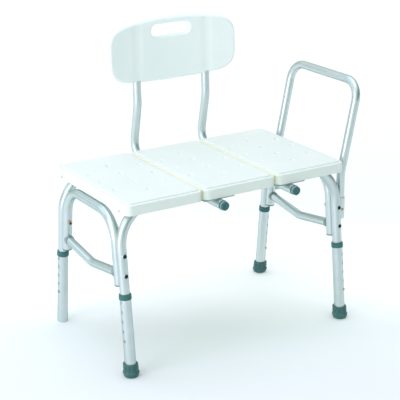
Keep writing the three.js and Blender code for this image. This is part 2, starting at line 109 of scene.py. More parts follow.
# ---------------------------------------------------------------- materials
class Paint:
    """A node material under construction: a Principled shader and helpers that feed it."""

    def __init__(self, name, roughness, metallic=0.0, **sockets):
        self.material = bpy.data.materials.new(name)
        self.material.use_nodes = True
        self.tree = self.material.node_tree
        self.shader = self.tree.nodes["Principled BSDF"]
        self.shader.inputs["Roughness"].default_value = roughness
        self.shader.inputs["Metallic"].default_value = metallic
        for socket, value in sockets.items():
            self.shader.inputs[socket.replace("_", " ")].default_value = value
        self.coordinates = self.node("ShaderNodeTexCoord").outputs["Object"]

    def node(self, kind, **settings):
        node = self.tree.nodes.new(kind)
        for name, value in settings.items():
            setattr(node, name, value)
        return node

    def link(self, source, target):
        self.tree.links.new(source, target)

    def noise(self, scale, detail=3.0, stretch=(1, 1, 1)):
        mapping = self.node("ShaderNodeMapping")
        mapping.inputs["Scale"].default_value = stretch
        self.link(self.coordinates, mapping.inputs["Vector"])
        noise = self.node("ShaderNodeTexNoise")
        noise.inputs["Scale"].default_value = scale
        noise.inputs["Detail"].default_value = detail
        self.link(mapping.outputs["Vector"], noise.inputs["Vector"])
        return noise.outputs["Fac"]

    def spread(self, value, low, high):
        """The noise mapped to the given range."""
        node = self.node("ShaderNodeMapRange")
        node.inputs["From Min"].default_value = NOISE_LOW
        node.inputs["From Max"].default_value = NOISE_HIGH
        node.inputs["To Min"].default_value = low
        node.inputs["To Max"].default_value = high
        self.link(value, node.inputs["Value"])
        return node.outputs["Result"]

    def color(self, value, first, second):
        """A base colour that the noise moves between two others."""
        ramp = self.node("ShaderNodeValToRGB")
        ramp.color_ramp.elements[0].position = NOISE_LOW
        ramp.color_ramp.elements[1].position = NOISE_HIGH
        ramp.color_ramp.elements[0].color = (*first, 1)
        ramp.color_ramp.elements[1].color = (*second, 1)
        self.link(value, ramp.inputs["Fac"])
        self.link(ramp.outputs["Color"], self.shader.inputs["Base Color"])
        return ramp.outputs["Color"]

    def roughness(self, value, low, high):
        self.link(self.spread(value, low, high), self.shader.inputs["Roughness"])

    def bump(self, value, strength, distance):
        bump = self.node("ShaderNodeBump")
        bump.inputs["Strength"].default_value = strength
        bump.inputs["Distance"].default_value = distance
        self.link(value, bump.inputs["Height"])
        self.link(bump.outputs["Normal"], self.shader.inputs["Normal"])


def moulded_plastic(name, first, second, painted_seam_glow=False):
    """White plastic. The seat's turns cream close to the narrow gaps between its panels, a painted
    glow standing in for light bounced and passed through there.
    """
    paint = Paint(name, 0.42, IOR=1.5)
    color = paint.color(paint.noise(9, 5), first, second)
    if painted_seam_glow:
        # Painted light: a cream tint near each seam stands in for light bounced and passed between
        # the panels
        apart = paint.node("ShaderNodeSeparateXYZ")
        paint.link(paint.coordinates, apart.inputs["Vector"])
        value = apart.outputs["X"]
        # The distance from the seat's middle, then from the nearer seam
        for seam_distance in (to_row_frame.translation.x, SEAT["pitch"] / 2 * MM):
            offset = paint.node("ShaderNodeMath", operation="SUBTRACT")
            offset.inputs[1].default_value = seam_distance
            size = paint.node("ShaderNodeMath", operation="ABSOLUTE")
            paint.link(value, offset.inputs[0])
            paint.link(offset.outputs["Value"], size.inputs[0])
            value = size.outputs["Value"]
        near = paint.node("ShaderNodeMapRange")
        near.inputs["From Min"].default_value = SEAM_GLOW_START
        near.inputs["From Max"].default_value = SEAM_GLOW_FULL
        paint.link(value, near.inputs["Value"])
        mix = paint.node("ShaderNodeMix", data_type="RGBA")
        paint.link(near.outputs["Result"], mix.inputs["Factor"])
        paint.link(color, mix.inputs[MIX_FIRST])
        mix.inputs[MIX_SECOND].default_value = (*SEAM_GLOW_COLOR, 1)
        paint.link(mix.outputs[MIX_RESULT], paint.shader.inputs["Base Color"])
    paint.roughness(paint.noise(160, 4), 0.36, 0.5)
    paint.bump(paint.noise(900, 2), 0.12, 0.0003)
    return paint.material


def satin_aluminium():
    # The specular tint darkens the tubes' grazing edges to green-grey: painted shade, standing in
    # for dark reflections along the tubes' sides
    paint = Paint("satin_anodised_aluminium", 0.4, 1.0, Specular_Tint=(0.42, 0.58, 0.56, 1))
    paint.color(paint.noise(22, 6), (0.6, 0.675, 0.67), (0.655, 0.72, 0.715))
    paint.roughness(paint.noise(320, 4), 0.31, 0.4)
    paint.bump(paint.noise(1800, 2), 0.08, 0.0001)
    return paint.material


def grey_plastic():
    paint = Paint("grey_green_plastic", 0.42, IOR=1.45, Specular_IOR_Level=0.35)
    paint.color(paint.noise(120, 5), (0.038, 0.135, 0.13), (0.056, 0.17, 0.163))
    paint.roughness(paint.noise(260, 3), 0.36, 0.52)
    paint.bump(paint.noise(1100, 3), 0.2, 0.0003)
    return paint.material


def light_grey_plastic():
    paint = Paint("light_grey_plastic", 0.45, IOR=1.5)
    paint.color(paint.noise(130, 5), (0.2, 0.29, 0.28), (0.27, 0.36, 0.35))
    paint.roughness(paint.noise(260, 3), 0.4, 0.54)
    paint.bump(paint.noise(1100, 3), 0.18, 0.0003)
    return paint.material


def zinc_steel():
    paint = Paint("zinc_plated_steel", 0.4, 0.9)
    paint.color(paint.noise(300, 4), (0.62, 0.67, 0.66), (0.72, 0.76, 0.75))
    paint.roughness(paint.noise(600, 3), 0.34, 0.5)
    paint.bump(paint.noise(1500, 3), 0.1, 0.0002)
    return paint.material


def strap_steel():
    paint = Paint("grey_painted_steel", 0.45, 0.3)
    paint.color(paint.noise(140, 4), (0.3, 0.4, 0.38), (0.38, 0.48, 0.46))
    paint.roughness(paint.noise(300, 3), 0.38, 0.54)
    paint.bump(paint.noise(900, 3), 0.15, 0.0002)
    return paint.material


def grey_rubber():
    paint = Paint("grey_green_rubber", 0.5, IOR=1.45)
    paint.color(paint.noise(90, 6), (0.032, 0.115, 0.109), (0.052, 0.15, 0.142))
    paint.roughness(paint.noise(180, 4), 0.34, 0.52)
    paint.bump(paint.noise(700, 4), 0.3, 0.0004)
    return paint.material


def button_brass():
    paint = Paint("button_brass", 0.3, 1.0)
    paint.color(paint.noise(500, 3), (0.46, 0.38, 0.2), (0.58, 0.49, 0.29))
    paint.roughness(paint.noise(900, 3), 0.24, 0.42)
    paint.bump(paint.noise(2500, 2), 0.1, 0.0001)
    return paint.material


def black_steel():
    paint = Paint("black_coated_steel", 0.38, 0.6)
    paint.color(paint.noise(400, 4), (0.01, 0.016, 0.015), (0.03, 0.04, 0.038))
    paint.roughness(paint.noise(700, 3), 0.3, 0.5)
    paint.bump(paint.noise(1500, 3), 0.15, 0.0002)
    return paint.material


# Finishes: a material and the slot it fills
# The seat's plastic is a darker copy and the backrest's a lighter copy of one white plastic:
# painted shade on the seat, painted light on the backrest
shaded_seat_white = moulded_plastic("seat_plastic_shaded", (0.785, 0.825, 0.77), (0.815, 0.85, 0.8), painted_seam_glow=True)
lit_back_white = moulded_plastic("back_plastic_lit", (0.9, 0.94, 0.91), (0.935, 0.96, 0.935))
SHADED_SEAT_WHITE = (shaded_seat_white, "white_plastic")
LIT_BACK_WHITE = (lit_back_white, "white_plastic")
ALUMINIUM = (satin_aluminium(), "tube_aluminium")
PLASTIC = (grey_plastic(), "dark_plastic")
RUBBER = (grey_rubber(), "rubber_grey")
BRASS = (button_brass(), "brass")
STEEL = (black_steel(), "dark_steel")
GREY = (light_grey_plastic(), "grey_plastic")
ZINC = (zinc_steel(), "zinc_steel")
STRAP = (strap_steel(), "dark_steel")


# ---------------------------------------------------------------- mesh helpers
BODIES = frame["record"]["behaviour"]["bodies"]
BODY_OF = {node: body for body, nodes in BODIES.items() for node in nodes}


def dress(name, mesh, finish, *nodes, sharp=38):
    """Puts a mesh in the row frame as one piece, riding with the CAD nodes it stands for."""
    mesh.transform(to_row_frame)
    bmesh.ops.recalc_face_normals(mesh, faces=mesh.faces)
    limit = math.radians(sharp)
    for face in mesh.faces:
        face.smooth = True
    for edge in mesh.edges:
        edge.smooth = edge.is_manifold and edge.calc_face_angle(math.pi) < limit
    data = bpy.data.meshes.new(name)
    mesh.to_mesh(data)
    mesh.free()
    piece = bpy.data.objects.new(name, data)
    bpy.context.scene.collection.objects.link(piece)
    material, slot = finish
    data.materials.append(material)
    weighted = piece.modifiers.new("weighted normals", "WEIGHTED_NORMAL")
    weighted.keep_sharp = True
    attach(piece, BODY_OF[nodes[0]])
    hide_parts(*nodes)


def bridge(mesh, rings, closed=False):
    """Joins rings of vertices, each a full circle or a single point on the axis, into one skin."""
    for low, high in zip(rings, rings[1:] + rings[:1] if closed else rings[1:]):
        count = max(len(low), len(high))
        for i in range(count):
            j = (i + 1) % count
            corners = [low[i % len(low)], low[j % len(low)]]
            corners += [high[j % len(high)], high[i % len(high)]]
            corners = list(dict.fromkeys(corners))
            if len(corners) > 2:
                mesh.faces.new(corners)


def softened(profile, radius, steps=3, closed=False):
    """A profile with its corners rounded, except the first and last points of an open one."""
    points = [Vector(p) for p in profile]
    count = len(points)
    result = []
    for i, point in enumerate(points):
        if not closed and i in (0, count - 1):
            result.append(point)
            continue
        before, after = points[i - 1] - point, points[(i + 1) % count] - point
        reach = min(radius, before.length * 0.45, after.length * 0.45)
        start = point + before.normalized() * reach
        end = point + after.normalized() * reach
        for k in range(steps + 1):
            t = k / steps
            result.append(start.lerp(point, t).lerp(point.lerp(end, t), t))
    return result


def turned(profile, radius=0.6, count=ROUND, closed=False, shape=None):
    """A piece turned round +Z from (radius, height) points.

    shape(angle, point) gives what is added to the radius there.
    """
    mesh = bmesh.new()
    rings = []
    for point in softened(profile, radius, closed=closed):
        if point.x < ON_AXIS:
            rings.append([mesh.verts.new((0, 0, point.y))])
            continue
        ring = []
        for i in range(count):
            angle = 2 * math.pi * i / count
            r = point.x + (shape(angle, point) if shape else 0)
            ring.append(mesh.verts.new((r * math.cos(angle), r * math.sin(angle), point.y)))
        rings.append(ring)
    bridge(mesh, rings, closed)
    return mesh


def bar(radius, low, high, count=24):
    """A plain rod along +Z, to cut with."""
    return turned([(0, low), (radius, low), (radius, high), (0, high)], SHARP, count)


def block(x, y, z):
    """A box from its (low, high) limits."""
    mesh = bmesh.new()
    bmesh.ops.create_cube(mesh, size=1)
    size = Matrix.Diagonal((x[1] - x[0], y[1] - y[0], z[1] - z[0], 1))
    mesh.transform(Matrix.Translation([(a[0] + a[1]) / 2 for a in (x, y, z)]) @ size)
    return mesh


def moved(mesh, *matrices):
    for matrix in matrices:
        mesh.transform(matrix)
    return mesh


def shift(x, y, z):
    return Matrix.Translation((x, y, z))


def turn(angle, axis):
    return Matrix.Rotation(angle, 4, axis)


def merged(meshes):
    whole = bmesh.new()
    for mesh in meshes:
        data = bpy.data.meshes.new("scratch")
        mesh.to_mesh(data)
        mesh.free()
        whole.from_mesh(data)
        bpy.data.meshes.remove(data)
    return whole


def scratch_object(mesh):
    bmesh.ops.recalc_face_normals(mesh, faces=mesh.faces)
    data = bpy.data.meshes.new("scratch")
    mesh.to_mesh(data)
    mesh.free()
    made = bpy.data.objects.new("scratch", data)
    bpy.context.scene.collection.objects.link(made)
    return made


def boolean(mesh, tools, operation="DIFFERENCE"):
    """The mesh joined with, or cut by, closed tools that don't touch each other."""
    body, tool = scratch_object(mesh), scratch_object(merged(tools))
    modifier = body.modifiers.new("boolean", "BOOLEAN")
    modifier.operation = operation
    modifier.solver = "EXACT"
    modifier.object = tool
    bpy.context.view_layer.update()
    result = bmesh.new()
    result.from_mesh(body.evaluated_get(bpy.context.evaluated_depsgraph_get()).data)
    for made in (body, tool):
        data = made.data
        bpy.data.objects.remove(made)
        bpy.data.meshes.remove(data)
    return result


def eased(mesh, width, angle=50, segments=2):
    """Rounds the mesh's sharp edges a little."""
    limit = math.radians(angle)
    edges = [e for e in mesh.edges if e.is_manifold and e.calc_face_angle(0) > limit]
    rounding = dict(offset=width, segments=segments, profile=0.5)
    bmesh.ops.bevel(mesh, geom=edges, affect="EDGES", clamp_overlap=True, **rounding)
    return mesh


def bent_line(corners, radii, step=20.0):
    """Stations (point, direction) along straight runs, with the corners rounded to the radii."""
    points = [Vector(c) for c in corners]
    stations = []

    def straight(start, end):
        direction = (end - start).normalized()
        count = max(1, round((end - start).length / step))
        for k in range(count + 1):
            stations.append((start.lerp(end, k / count), direction))

    cursor = points[0]
    for before, corner, after, radius in zip(points, points[1:], points[2:], radii):
        inward, outward = (corner - before).normalized(), (after - corner).normalized()
        angle = inward.angle(outward)
        start = corner - inward * radius * math.tan(angle / 2)
        straight(cursor, start)
        axis = inward.cross(outward).normalized()
        arm = -axis.cross(inward) * radius
        centre = start - arm
        count = max(3, math.ceil(angle / math.radians(3)))
        for k in range(1, count):
            spin = Matrix.Rotation(angle * k / count, 3, axis)
            stations.append((centre + spin @ arm, spin @ inward))
        cursor = centre + Matrix.Rotation(angle, 3, axis) @ arm
    straight(cursor, points[-1])
    return stations


def tube(corners, radii, size):
    """A pipe along a bent line, with rounded lips at its open ends."""
    outer, inner = size
    lip = min(0.5, (outer - inner) / 3)
    stations = bent_line(corners, radii)
    side = stations[0][1].orthogonal().normalized()
    frames = []
    for point, direction in stations:
        side = (side - direction * side.dot(direction)).normalized()
        frames.append((point, direction, side, direction.cross(side)))
    mesh = bmesh.new()

    def ring(frame_at, radius, along=0.0):
        point, direction, right, up = frame_at
        centre = point + direction * along
        angles = (2 * math.pi * (i + 0.5) / ROUND for i in range(ROUND))
        spokes = (math.cos(a) * right + math.sin(a) * up for a in angles)
        return [mesh.verts.new(centre + radius * spoke) for spoke in spokes]

    def lips(frame_at, sense):
        steps = [(outer, lip), (outer - 0.3 * lip, 0.3 * lip), (outer - lip, 0)]
        steps += [(inner + lip, 0), (inner + 0.3 * lip, 0.3 * lip), (inner, lip)]
        return [ring(frame_at, radius, sense * along) for radius, along in steps]

    first, last = lips(frames[0], 1), lips(frames[-1], -1)
    rings = first[::-1] + [ring(f, outer) for f in frames[1:-1]] + last
    rings += [ring(f, inner) for f in frames[-2:0:-1]]
    bridge(mesh, rings, closed=True)
    return mesh


def leg_matrix(side, end):
    """The frame of a leg: local +Z up its axis from the floor, local +Y square to it, outward."""
    up = Vector((0, -end * math.sin(SPLAY), math.cos(SPLAY)))
    out = Vector((0, end * math.cos(SPLAY), math.sin(SPLAY)))
    across = out.cross(up)
    basis = Matrix((across, out, up)).transposed().to_4x4()
    return shift(side * FOOT[0], end * FOOT[1], 0) @ basis


def leg_point(side, end, outward, along):
    return leg_matrix(side, end) @ Vector((0, outward, along))


def button_matrix(side_name, end):
    """Turns a piece made along +X, in a leg's frame, to the way that leg's snap button points."""
    angle = BUTTONS[side_name][1]
    return turn(math.atan2(end * math.sin(angle), end * math.cos(angle)), "Z")


ALONG_X = turn(math.pi / 2, "Y")
ALONG_Y = turn(-math.pi / 2, "X")


# ---------------------------------------------------------------- seat
def rounded_rectangle(width, depth, radius, per_corner=9):
    """An outline round the origin, as (x, y) points."""
    x, y = width / 2 - radius, depth / 2 - radius
    points = []
    for corner, (cx, cy) in enumerate(((x, y), (-x, y), (-x, -y), (x, -y))):
        for k in range(per_corner):
            angle = (corner + k / (per_corner - 1)) * math.pi / 2
            points.append((cx + radius * math.cos(angle), cy + radius * math.sin(angle)))
    return points


def drain_cutter(x, y):
    """A hole with a wide dished mouth."""
    top = SEAT["top"]
    profile = [(0, top - 12), (3.6, top - 12), (3.6, top - 3), (4.6, top - 1.9)]
    profile += [(6.6, top - 0.55), (8.2, top + 0.4), (0, top + 0.4)]
    return moved(turned(profile, 0.5, SMOOTH), shift(x, y, 0))


def seat_shell():
    """The moulded skin, open below, with a groove at the foot of the step up to its top.

    It is drawn as (inset, height) steps from the ceiling, round the wall, to the top.
    """
    bottom, rim, top = SEAT["bottom"], SEAT["rim"], SEAT["top"]
    inside = [(13.5, rim), (11, rim - 2.6), (6.8, rim - 3.2), (4.4, rim - 4.8), (4.0, rim - 7.5)]
    inside += [(3.6, bottom + 0.5), (3.3, bottom + 0.1)]
    edge = [(0.7, bottom), (0.25, bottom + 0.25), (0.05, bottom + 0.8), (0, rim - 2.6)]
    edge += [(0.2, rim - 1.4), (0.75, rim - 0.6), (1.6, rim - 0.1), (2.8, rim + 0.15)]
    groove = [(7.2, rim + 0.45), (7.8, rim + 0.2), (8.3, rim - 0.9), (9.3, rim - 0.9)]
    step = [(9.8, rim + 0.5), (10.5, rim + 2.2), (11.3, rim + 2.8), (12.3, top)]
    mesh = bmesh.new()
    rings = []
    for inset, height in inside + edge + groove + step:
        radius = max(SEAT["corner"] - inset, 4)
        outline = rounded_rectangle(SEAT["width"] - 2 * inset, SEAT["depth"] - 2 * inset, radius)
        rings.append([mesh.verts.new((x, y, height)) for x, y in outline])
    bridge(mesh, rings)
    mesh.faces.new(rings[0])
    mesh.faces.new(rings[-1])
    return mesh


def seat_panel(place):
    """One panel, with ways for the rails through its walls, except at the seat's two ends."""
    rail_y = FOOT[1] - RAIL["z"] * math.tan(SPLAY)
    room = FRAME_TUBE[0] + RAIL_WAY["room"]
    along = (0 if place < 0 else -LONG, 0 if place > 0 else LONG)
    heights = (RAIL_WAY["bottom"], RAIL_WAY["top"])
    ways = [block(along, (end * rail_y - room, end * rail_y + room), heights) for _, end in ENDS]
    shell = boolean(seat_shell(), [drain_cutter(x, y) for x, row in DRAIN_COLUMNS for y in row])
    shell = boolean(shell, ways)
    return moved(shell, shift(place * SEAT["pitch"], 0, 0))


def make_seat():
    for name, place in (("left", -1), ("middle", 0), ("right", 1)):
        dress(f"seat_shell_{name}", seat_panel(place), SHADED_SEAT_WHITE, f"seat_panel_{name}", sharp=32)


def end_screw(side, end):
    """A pan head with a cross recess, whose second slot is a hair higher than the first."""
    profile = [(0, -9), (1.6, -9), (1.6, 0.1), (3.6, 0.1), (3.6, 1.1), (2.6, 1.95), (0, 2)]
    head = turned(profile, 0.4, SMOOTH)
    long, narrow = (-2.2, 2.2), (-0.45, 0.45)
    for cutter in (block(long, narrow, (1, 3)), block(narrow, long, (1.01, 3.01))):
        head = boolean(head, [cutter])
    place = shift(side * (SEAT["pitch"] + SEAT["width"] / 2), end * END_SCREW["y"], END_SCREW["z"])
    return moved(head, turn(side * math.pi / 2, "Y"), place)


def make_end_screws():
    for side_name, side in SIDES:
        for end_name, end in ENDS:
            node = f"seat_end_screw_{side_name}_{end_name}"
            dress(f"pan_head_screw_{side_name}_{end_name}", end_screw(side, end), ZINC, node)


# ---------------------------------------------------------------- frames
def bolt_drills(side, end):
    places = [(shift(0, 0, height), leg_matrix(side, end)) for height in BOLT_HEIGHTS]
    return [moved(bar(BOLT_HOLE, -THROUGH, THROUGH), ALONG_Y, *place) for place in places]


def button_drill(side_name, side, end, height):
    drill = bar(HOLE["radius"], 0, 2 * LOWER_TUBE[0])
    drill = moved(drill, ALONG_X, button_matrix(side_name, end))
    return moved(drill, shift(0, 0, height), leg_matrix(side, end))


def long_frame(end):
    """A rail under the seat whose two bent-down ends are the upper legs."""
    along = RAIL["z"] / math.cos(SPLAY)
    corners = [leg_point(-1, end, 0, RAIL["end"]), leg_point(-1, end, 0, along)]
    corners += [leg_point(1, end, 0, along), leg_point(1, end, 0, RAIL["end"])]
    pipe = tube(corners, [RAIL["bend"]] * 2, FRAME_TUBE)
    drills = []
    for side_name, side in SIDES:
        drills += bolt_drills(side, end)
        drills.append(button_drill(side_name, side, end, BUTTONS[side_name][0]))
    return boolean(pipe, drills)


def end_frame(side):
    """A hoop bolted inside the two legs of one end."""
    offset = -END_FRAME["offset"]
    low, high = END_FRAME["end"], (END_FRAME["z"] - offset * math.sin(SPLAY)) / math.cos(SPLAY)
    corners = [leg_point(side, -1, offset, low), leg_point(side, -1, offset, high)]
    corners += [leg_point(side, 1, offset, high), leg_point(side, 1, offset, low)]
    pipe = tube(corners, [END_FRAME["bend"]] * 2, FRAME_TUBE)
    return boolean(pipe, [drill for _, end in ENDS for drill in bolt_drills(side, end)])


def end_plug(side, end):
    """A flanged plug in the lower end of an end frame."""
    flange, stub = FRAME_TUBE[0] - 0.2, FRAME_TUBE[1] - 0.8
    profile = [(0, -3), (flange, -3), (flange, -GAP), (stub, -GAP), (stub, 8), (0, 8)]
    place = shift(0, -END_FRAME["offset"], END_FRAME["end"])
    return moved(turned(profile, 0.9), place, leg_matrix(side, end))


def saddle(side, end):
    """A dished washer between the end frame's tube and the brace's end."""
    bore, rim = 3.6, 13
    face = -END_FRAME["offset"] - FRAME_TUBE[0]
    back = face - BRACE["washer"]
    profile = [(bore, back), (rim - 0.6, back), (rim, back + 1), (rim, face + 6), (bore, face + 6)]
    disc = moved(turned(profile, 0.5, closed=True), ALONG_Y)
    groove = bar(FRAME_TUBE[0] + 0.5, -THROUGH, THROUGH, ROUND)
    disc = boolean(disc, [moved(groove, shift(0, -END_FRAME["offset"], 0))])
    return moved(disc, shift(0, 0, BOLT_HEIGHTS[0]), leg_matrix(side, end))


def brace(side):
    """A thin tube between the front and rear legs, with a knee in its middle."""
    start = -END_FRAME["offset"] - FRAME_TUBE[0] - BRACE["washer"] - BRACE["clearance"]
    near, far = (leg_point(side, end, start, BOLT_HEIGHTS[0]) for end in (-1, 1))
    middle = Vector((near.x, 0, near.z + near.y * math.tan(SPLAY) - BRACE["drop"]))
    return tube([near, middle, far], [BRACE["bend"]], SMALL_TUBE)


def bolt_parts(side, end, level):
    """The bolt with its domed socket head, its cup washer, and the nut at its inner end."""
    inner = -END_FRAME["offset"] - FRAME_TUBE[0]
    nut_start = inner - (GAP if level else BRACE["washer"] + 3.2)
    outer = FRAME_TUBE[0]
    radius = 6.2 if level else 7.5
    head = [(0, nut_start - 7), (2.9, nut_start - 7), (2.9, outer + 1.6), (4.9, outer + 1.6)]
    head += [(4.9, outer + 3.1), (4.2, outer + 4.1), (2.7, outer + 4.5), (2.3, outer + 3.9)]
    head += [(2.2, outer + 2.4), (0, outer + 2.4)]
    cup = [(3.1, outer + 0.1), (6.4, outer + 0.1), (6.5, outer + 0.9), (5.6, outer + 2.1)]
    cup += [(5.1, outer + 2.1), (4.7, outer + 1.4), (3.1, outer + 1.4)]
    nut = [(2.95, nut_start - 5), (radius * 0.86, nut_start - 5), (radius, nut_start - 4.3)]
    nut += [(radius, nut_start - 1.2), (radius * 0.9, nut_start), (2.95, nut_start)]

    def hexagon(angle, point):
        half_side = math.pi / 6
        flat = radius * math.cos(half_side) / math.cos((angle % (math.pi / 3)) - half_side)
        return min(point.x, flat) - point.x

    pieces = [turned(head, 0.35, 32), turned(cup, 0.3, 36, True)]
    pieces.append(turned(nut, 0.25, 60, True, hexagon))
    place = (ALONG_Y, shift(0, 0, BOLT_HEIGHTS[level]), leg_matrix(side, end))
    return [moved(piece, *place) for piece in pieces]


def make_frames():
    for end_name, end in ENDS:
        dress(f"{end_name}_long_frame", long_frame(end), ALUMINIUM, f"{end_name}_leg_frame")
    for side_name, side in SIDES:
        dress(f"{side_name}_end_hoop", end_frame(side), ALUMINIUM, f"{side_name}_end_frame")
        dress(f"{side_name}_cross_brace", brace(side), ALUMINIUM, f"{side_name}_brace")
        for end_name, end in ENDS:
            place = f"{side_name}_{end_name}"
            dress(f"hoop_plug_{place}", end_plug(side, end), PLASTIC, f"end_frame_plug_{place}")
            dress(f"saddle_washer_{place}", saddle(side, end), GREY, f"brace_saddle_{place}")
            for level, height in enumerate(("lower", "upper")):
                node = f"frame_bolt_{height}_{place}"
                bolt, cup, nut = bolt_parts(side, end, level)
                dress(f"{height}_bolt_{place}", bolt, STEEL, node)
                dress(f"{height}_cup_washer_{place}", cup, ALUMINIUM, node)
                dress(f"{height}_nut_{place}", nut, BRASS, node)


# ---------------------------------------------------------------- telescopic legs
def lower_leg(side_name, side, end, bare):
    """The telescopic tube with its row of holes. A bare one is cut level with the floor."""
    low = LOWER_LEG["bare_bottom" if bare else "bottom"]
    pipe = tube([(0, 0, low), (0, 0, LOWER_LEG["top"])], [], LOWER_TUBE)
    pipe = moved(pipe, leg_matrix(side, end))
    heights = [BUTTONS[side_name][0] + i * HOLE["pitch"] for i in range(HOLE["count"])]
    pipe = boolean(pipe, [button_drill(side_name, side, end, height) for height in heights])
    if bare:
        floor = block((-LONG, LONG), (-LONG, LONG), (-LONG, 0))
        pipe = boolean(pipe, [floor])
    return pipe


def leg_collar(side, end):
    """The guide on a lower leg's upper end, with a lip over the tube's edge."""
    bore, outer, lip, bottom, top = 14.6, 16.1, 13.2, 202.5, 217
    profile = [(bore, bottom), (outer - 0.6, bottom), (outer, bottom + 1), (outer, top - 4.4)]
    profile += [(outer - 0.5, top - 3.8), (outer - 0.5, top - 1.3), (outer - 1.3, top)]
    profile += [(lip, top), (lip, top - 2.7), (bore, top - 2.7)]
    return moved(turned(profile, 0.5, closed=True), leg_matrix(side, end))


def rubber_tip(side, end):
    """A moulded ferrule: a rounded foot, a thin ring above it and a scalloped barrel."""
    ring, body, top, bore = (TIP[name] for name in ("ring", "body", "top", "bore"))
    profile = [(0, 0.9), (11.5, 0.9), (12.5, 0.02), (15.6, 0.02), (18, 1.6), (19.6, 4.6)]
    profile += [(20.2, 8.4), (ring, 10.6), (ring, 12.2), (body + 0.3, 13.8), (body, 15.2)]
    profile += [(body + 0.2, 22), (body, 29.4), (body - 0.2, 31), (body - 0.2, top - 0.8)]
    profile += [(body - 1.2, top), (bore, top), (bore, 6), (0, 6)]

    def flute(angle, point):
        low, high, fade = FLUTE["low"], FLUTE["high"], FLUTE["fade"]
        if point.x < body - 1 or not low < point.y < high:
            return 0
        share = min(point.y - low, high - point.y, fade) / fade
        wave = max(0, math.cos(FLUTE["count"] * angle)) ** FLUTE["power"]
        return -FLUTE["depth"] * share * wave

    tip = turned(profile, 0.8, 120, shape=flute)
    # A shear rather than a turn, so that the foot stays flat on the floor
    lean = Matrix.Identity(4)
    lean[0][3], lean[1][3] = side * FOOT[0], end * FOOT[1]
    lean[1][2] = -end * math.tan(SPLAY)
    return moved(tip, lean)


def snap_button(bore, reach_out):
    """A hairpin strip with a domed stud on its free leg, the stud pointing along +X.

    The strip's other leg stands off the far wall, so it stays in the tube when the stud is pressed.
    """
    near, far = bore - CLIP["near"], CLIP["far"] - bore
    top, bottom, half = CLIP["above"], -CLIP["below"], CLIP["width"]
    corners = [(near, 0, top), (near, 0, bottom), (far, 0, bottom), (far, 0, top)]
    line = bent_line(corners, [(near - far) * 0.35] * 2, 8)
    mesh = bmesh.new()
    rings = []
    for point, direction in line:
        across = direction.cross(Vector((0, 1, 0))).normalized() * CLIP["strip"]
        section = ((-1, -half), (1, -half), (1, half), (-1, half))
        ring = [point + across * a + Vector((0, b, 0)) for a, b in section]
        rings.append([mesh.verts.new(p) for p in ring])
    bridge(mesh, rings)
    mesh.faces.new(rings[0])
    mesh.faces.new(rings[-1])
    radius = CLIP["button"]
    stud = [(0, 0), (radius, 0), (radius, reach_out - 1.6), (radius - 0.5, reach_out - 0.6)]
    stud += [(1.5, reach_out), (0, reach_out)]
    button = moved(turned(stud, 0.5, SMOOTH), ALONG_X, shift(near, 0, 0))
    return boolean(eased(mesh, 0.15), [button], "UNION")


def make_legs():
    for side_name, side in SIDES:
        for end_name, end in ENDS:
            place = f"{end_name}_{side_name}"
            bare = side < 0 < end
            leg = lower_leg(side_name, side, end, bare)
            dress(f"telescopic_tube_{place}", leg, ALUMINIUM, f"lower_leg_{place}")
            dress(f"tube_collar_{place}", leg_collar(side, end), PLASTIC, f"leg_collar_{place}")
            if not bare:
                dress(f"ferrule_{place}", rubber_tip(side, end), RUBBER, f"rubber_tip_{place}")
            clip = moved(snap_button(FRAME_TUBE[1], LEG_REACH), button_matrix(side_name, end))
            clip = moved(clip, shift(0, 0, BUTTONS[side_name][0]), leg_matrix(side, end))
            dress(f"leg_clip_{place}", clip, BRASS, f"leg_snap_button_{place}")


# ---------------------------------------------------------------- arm rail
def sleeve_drill(end):
    drill = moved(bar(HOLE["radius"], 0, 2 * SLEEVE["outer"]), turn(-end * math.pi / 2, "X"))
    return moved(drill, shift(ARM["x"], end * ARM["y"], SLEEVE["button"]))


def arm_rail():
    """A hoop with two upright legs that leans outward above its kinks."""
    x, y = ARM["x"], ARM["y"]
    top_x = x + (ARM["top"] - ARM["kink"]) * math.tan(ARM["lean"])
    half = [(x, -y, ARM["bottom"]), (x, -y, ARM["kink"]), (top_x, -y, ARM["top"])]
    corners = half + [(cx, -cy, cz) for cx, cy, cz in half[::-1]]
    radii = [ARM["kink_bend"], ARM["bend"], ARM["bend"], ARM["kink_bend"]]
    pipe = tube(corners, radii, SMALL_TUBE)
    return boolean(pipe, [sleeve_drill(end) for _, end in ENDS])


def arm_sleeve(end):
    x, y = ARM["x"], end * ARM["y"]
    size = (SLEEVE["outer"], SLEEVE["inner"])
    pipe = tube([(x, y, SLEEVE["bottom"]), (x, y, SLEEVE["top"])], [], size)
    return boolean(pipe, [sleeve_drill(end)])


def make_arm_rail():
    dress("arm_rail_tube", arm_rail(), ALUMINIUM, "arm_rail")
    for end_name, end in ENDS:
        node = f"arm_rail_sleeve_{end_name}"
        dress(f"rail_sleeve_{end_name}", arm_sleeve(end), ALUMINIUM, node)
        clip = moved(snap_button(SMALL_TUBE[1], SMALL_REACH), turn(end * math.pi / 2, "Z"))
        clip = moved(clip, shift(ARM["x"], end * ARM["y"], SLEEVE["button"]))
        dress(f"rail_clip_{end_name}", clip, BRASS, f"arm_rail_snap_button_{end_name}")


# ---------------------------------------------------------------- backrest
def receiver_drill(x):
    drill = moved(bar(HOLE["radius"], 0, 2 * RECEIVER["outer"]), turn(math.pi, "X"))
    return moved(drill, shift(x, RECEIVER["button"], BACK["tube_z"]))


def receiver_body(x):
    z = BACK["tube_z"]
    ends = [(x, RECEIVER["front"], z), (x, RECEIVER["rear"], z)]
    pipe = tube(ends, [], (RECEIVER["outer"], RECEIVER["inner"]))
    return boolean(pipe, [receiver_drill(x)])


